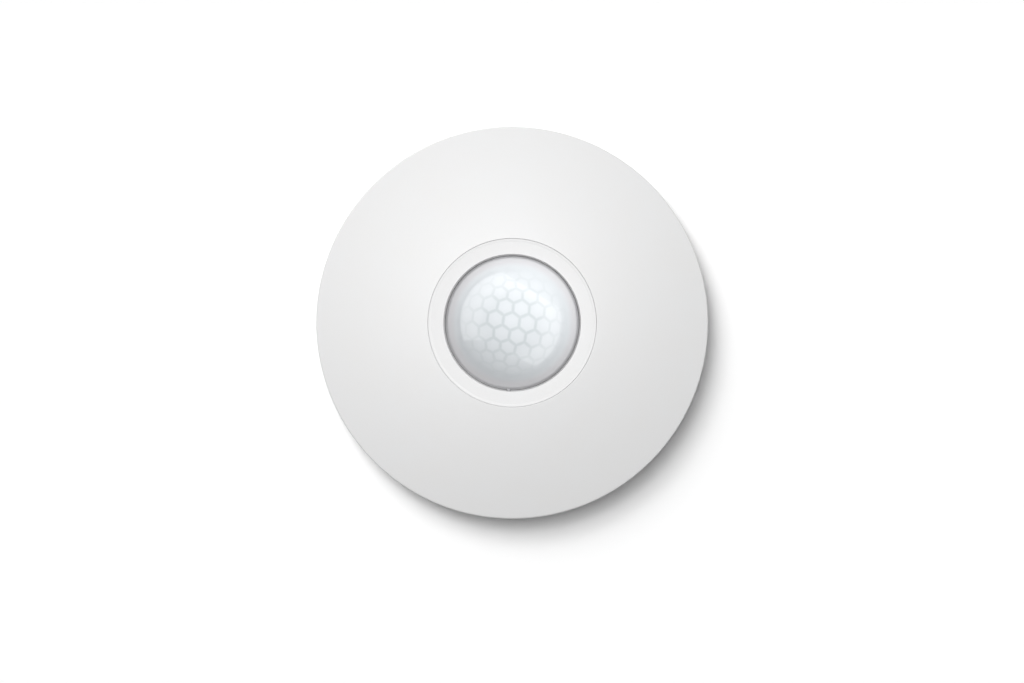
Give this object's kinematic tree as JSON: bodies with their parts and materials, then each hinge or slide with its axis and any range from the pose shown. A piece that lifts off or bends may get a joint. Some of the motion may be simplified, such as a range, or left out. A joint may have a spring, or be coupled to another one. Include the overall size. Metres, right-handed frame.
{
  "type": "motion sensor",
  "caption": "Round ceiling motion sensor with a shallow conical cover, a milky honeycomb dome lens and a twist-lock mounting plate.",
  "frame": {"origin": "centre of the mounting plate's flat back, which lies against the ceiling or wall", "axes": "+Z out of the dome lens, along the lens axis; +Y up and +X right for a viewer facing the lens"},
  "size_m": [0.091, 0.091, 0.0283],
  "materials": {
    "cover_plastic": "fine-textured white moulded plastic, satin",
    "collar_plastic": "smooth white moulded plastic, satin",
    "lens_plastic": "milky translucent lens plastic, glossy outside, honeycomb inside",
    "housing_plastic": "white moulded plastic",
    "plate_plastic": "white moulded plastic",
    "door_plastic": "white moulded plastic",
    "gasket_foam": "closed-cell foam",
    "black_plastic": "black moulded plastic",
    "chip_epoxy": "matte epoxy",
    "board_laminate": "green solder mask over glass laminate",
    "nickel_plate": "nickel-plated sheet steel",
    "screw_zinc": "zinc-plated steel",
    "spring_steel": "drawn spring wire",
    "lead_gold": "gold-plated lead wire",
    "filter_silicon": "polished silicon filter",
    "capacitor_can": "drawn aluminium can",
    "ferrite": "ferrite",
    "button_plastic": "grey moulded plastic",
    "slider_plastic": "white moulded plastic",
    "led_resin": "clear resin",
    "switch_red": "red moulded plastic"
  },
  "bodies": {
    "base": {"mounting_plate": "plate_plastic"},
    "head": {"rear_housing": "housing_plastic", "front_cover": "cover_plastic", "lens_collar": "collar_plastic", "dome_lens": "lens_plastic", "lens_gasket": "gasket_foam", "lens_retainer": "collar_plastic", "retainer_screw_1": "screw_zinc", "retainer_screw_2": "screw_zinc", "retainer_screw_3": "screw_zinc", "housing_screw_1": "screw_zinc", "housing_screw_2": "screw_zinc", "housing_screw_3": "screw_zinc", "board_screw_1": "screw_zinc", "board_screw_2": "screw_zinc", "board_screw_3": "screw_zinc", "circuit_board": "board_laminate", "sensor_spacer": "black_plastic", "sensor_can": "nickel_plate", "sensor_window": "filter_silicon", "sensor_lead_1": "lead_gold", "sensor_lead_2": "lead_gold", "sensor_lead_3": "lead_gold", "coin_cell": "nickel_plate", "cell_contact_negative": "nickel_plate", "cell_contact_positive": "nickel_plate", "tamper_switch_body": "black_plastic", "tamper_spring": "spring_steel", "learn_switch_body": "black_plastic", "settings_switch_body": "switch_red", "radio_module": "nickel_plate", "antenna": "nickel_plate", "microcontroller": "chip_epoxy", "signal_amplifier": "chip_epoxy", "crystal": "nickel_plate", "reservoir_capacitor": "capacitor_can", "power_inductor": "ferrite", "status_light": "led_resin", "light_sensor": "black_plastic"},
    "battery_door": {"battery_door": "door_plastic"},
    "tamper_plunger": {"tamper_plunger": "switch_red"},
    "learn_button": {"learn_button": "button_plastic"},
    "settings_slider_1": {"settings_slider_1": "slider_plastic"},
    "settings_slider_2": {"settings_slider_2": "slider_plastic"}
  },
  "joints": [
    {"name": "head_twist", "type": "hinge", "parent": "base", "child": "head", "pos_m": [0, 0, 0.0034], "axis": [0, 0, 1], "range_deg": [0, 18]},
    {"name": "battery_door_twist", "type": "hinge", "parent": "head", "child": "battery_door", "pos_m": [-0.0245, 0, 0.002], "axis": [0, 0, -1], "range_deg": [0, 25]},
    {"name": "tamper_travel", "type": "slide", "parent": "head", "child": "tamper_plunger", "axis": [0, 0, 1], "range_m": [0, 0.0008], "stiffness_N_per_m": 300, "springref_m": -0.0012, "deforming": ["tamper_spring"]},
    {"name": "learn_button_travel", "type": "slide", "parent": "head", "child": "learn_button", "axis": [0, 0, 1], "range_m": [0, 0.0005], "stiffness_N_per_m": 800, "springref_m": -0.0005},
    {"name": "settings_slide_1", "type": "slide", "parent": "head", "child": "settings_slider_1", "axis": [0, 1, 0], "range_m": [0, 0.0019]},
    {"name": "settings_slide_2", "type": "slide", "parent": "head", "child": "settings_slider_2", "axis": [0, 1, 0], "range_m": [0, 0.0019]}
  ]
}
